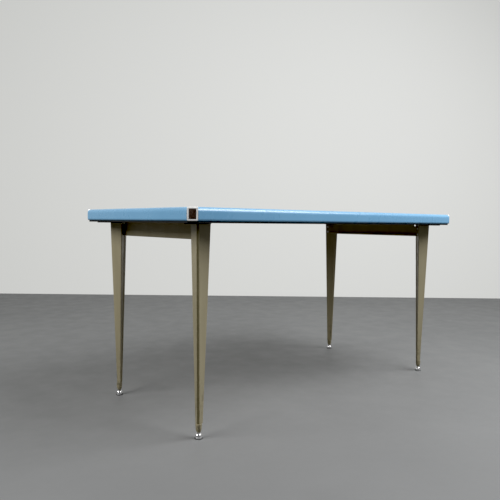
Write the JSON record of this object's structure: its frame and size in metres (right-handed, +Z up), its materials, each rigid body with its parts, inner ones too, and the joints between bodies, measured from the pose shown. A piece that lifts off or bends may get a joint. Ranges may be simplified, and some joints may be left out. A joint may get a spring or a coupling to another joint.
{
  "type": "work table",
  "caption": "Long steel-edged work table: blue top with metal corner pieces and buffers, on tapered triangular folded-steel legs with screw levelling glides and end aprons.",
  "frame": {"origin": "on the floor under the middle of the top", "axes": "+X along the long side of the top, +Y across it, +Z up"},
  "size_m": [1.5, 0.77, 0.76],
  "materials": {
    "blue_enamel": "glossy, slightly worn",
    "linoleum": "satin, faintly mottled",
    "blockboard": "bare",
    "polished_metal": "polished, fine scratches",
    "buffer_rubber": "aged, mottled",
    "frame_paint": "matt black primer",
    "leg_paint": "satin enamel",
    "groove_paint": "satin, dark",
    "zinc_steel": "zinc plated",
    "glide_chrome": "polished",
    "stem_steel": "bright steel",
    "pad_nylon": "matt"
  },
  "bodies": {
    "table": {"top_board": "blockboard", "linoleum": "linoleum", "edge_band_front": "blue_enamel", "edge_band_back": "blue_enamel", "edge_band_left": "blue_enamel", "edge_band_right": "blue_enamel", "corner_screws": "zinc_steel", "frame_bar_front": "frame_paint", "frame_bar_back": "frame_paint", "frame_bar_left": "frame_paint", "frame_bar_right": "frame_paint", "frame_screws": "zinc_steel", "apron_left": "leg_paint", "apron_right": "leg_paint", "apron_bolts": "zinc_steel", "apron_nuts": "zinc_steel", "corner_piece_front_left": "polished_metal", "corner_piece_front_right": "polished_metal", "corner_piece_back_left": "polished_metal", "corner_piece_back_right": "polished_metal", "corner_buffer_front_left": "buffer_rubber", "corner_buffer_front_right": "buffer_rubber", "corner_buffer_back_left": "buffer_rubber", "corner_buffer_back_right": "buffer_rubber", "leg_front_left_side_half": "leg_paint", "leg_front_left_end_half": "leg_paint", "leg_front_left_groove_strip": "groove_paint", "leg_front_left_back_strip": "leg_paint", "leg_front_left_head_plate": "frame_paint", "leg_front_left_ferrule": "leg_paint", "leg_front_right_side_half": "leg_paint", "leg_front_right_end_half": "leg_paint", "leg_front_right_groove_strip": "groove_paint", "leg_front_right_back_strip": "leg_paint", "leg_front_right_head_plate": "frame_paint", "leg_front_right_ferrule": "leg_paint", "leg_back_left_side_half": "leg_paint", "leg_back_left_end_half": "leg_paint", "leg_back_left_groove_strip": "groove_paint", "leg_back_left_back_strip": "leg_paint", "leg_back_left_head_plate": "frame_paint", "leg_back_left_ferrule": "leg_paint", "leg_back_right_side_half": "leg_paint", "leg_back_right_end_half": "leg_paint", "leg_back_right_groove_strip": "groove_paint", "leg_back_right_back_strip": "leg_paint", "leg_back_right_head_plate": "frame_paint", "leg_back_right_ferrule": "leg_paint"},
    "glide_front_left": {"foot_front_left_cup": "glide_chrome", "foot_front_left_pad": "pad_nylon"},
    "stem_front_left": {"foot_front_left_stem": "stem_steel"},
    "glide_front_right": {"foot_front_right_cup": "glide_chrome", "foot_front_right_pad": "pad_nylon"},
    "stem_front_right": {"foot_front_right_stem": "stem_steel"},
    "glide_back_left": {"foot_back_left_cup": "glide_chrome", "foot_back_left_pad": "pad_nylon"},
    "stem_back_left": {"foot_back_left_stem": "stem_steel"},
    "glide_back_right": {"foot_back_right_cup": "glide_chrome", "foot_back_right_pad": "pad_nylon"},
    "stem_back_right": {"foot_back_right_stem": "stem_steel"}
  },
  "joints": [
    {"name": "glide_front_left_height", "type": "slide", "parent": "table", "child": "glide_front_left", "axis": [0, 0, -1], "range_m": [0, 0.012]},
    {"name": "stem_front_left_turn", "type": "hinge", "parent": "glide_front_left", "child": "stem_front_left", "pos_m": [-0.65, -0.285, 0.03], "axis": [0, 0, -1], "range_deg": [0, 3456]},
    {"name": "glide_front_right_height", "type": "slide", "parent": "table", "child": "glide_front_right", "axis": [0, 0, -1], "range_m": [0, 0.012]},
    {"name": "stem_front_right_turn", "type": "hinge", "parent": "glide_front_right", "child": "stem_front_right", "pos_m": [0.65, -0.285, 0.03], "axis": [0, 0, -1], "range_deg": [0, 3456]},
    {"name": "glide_back_left_height", "type": "slide", "parent": "table", "child": "glide_back_left", "axis": [0, 0, -1], "range_m": [0, 0.012]},
    {"name": "stem_back_left_turn", "type": "hinge", "parent": "glide_back_left", "child": "stem_back_left", "pos_m": [-0.65, 0.285, 0.03], "axis": [0, 0, -1], "range_deg": [0, 3456]},
    {"name": "glide_back_right_height", "type": "slide", "parent": "table", "child": "glide_back_right", "axis": [0, 0, -1], "range_m": [0, 0.012]},
    {"name": "stem_back_right_turn", "type": "hinge", "parent": "glide_back_right", "child": "stem_back_right", "pos_m": [0.65, 0.285, 0.03], "axis": [0, 0, -1], "range_deg": [0, 3456]}
  ],
  "couplings": [
    {"joint": "stem_front_left_turn", "follows": "glide_front_left_height", "rad_per_m": 5026.5},
    {"joint": "stem_front_right_turn", "follows": "glide_front_right_height", "rad_per_m": 5026.5},
    {"joint": "stem_back_left_turn", "follows": "glide_back_left_height", "rad_per_m": 5026.5},
    {"joint": "stem_back_right_turn", "follows": "glide_back_right_height", "rad_per_m": 5026.5}
  ]
}
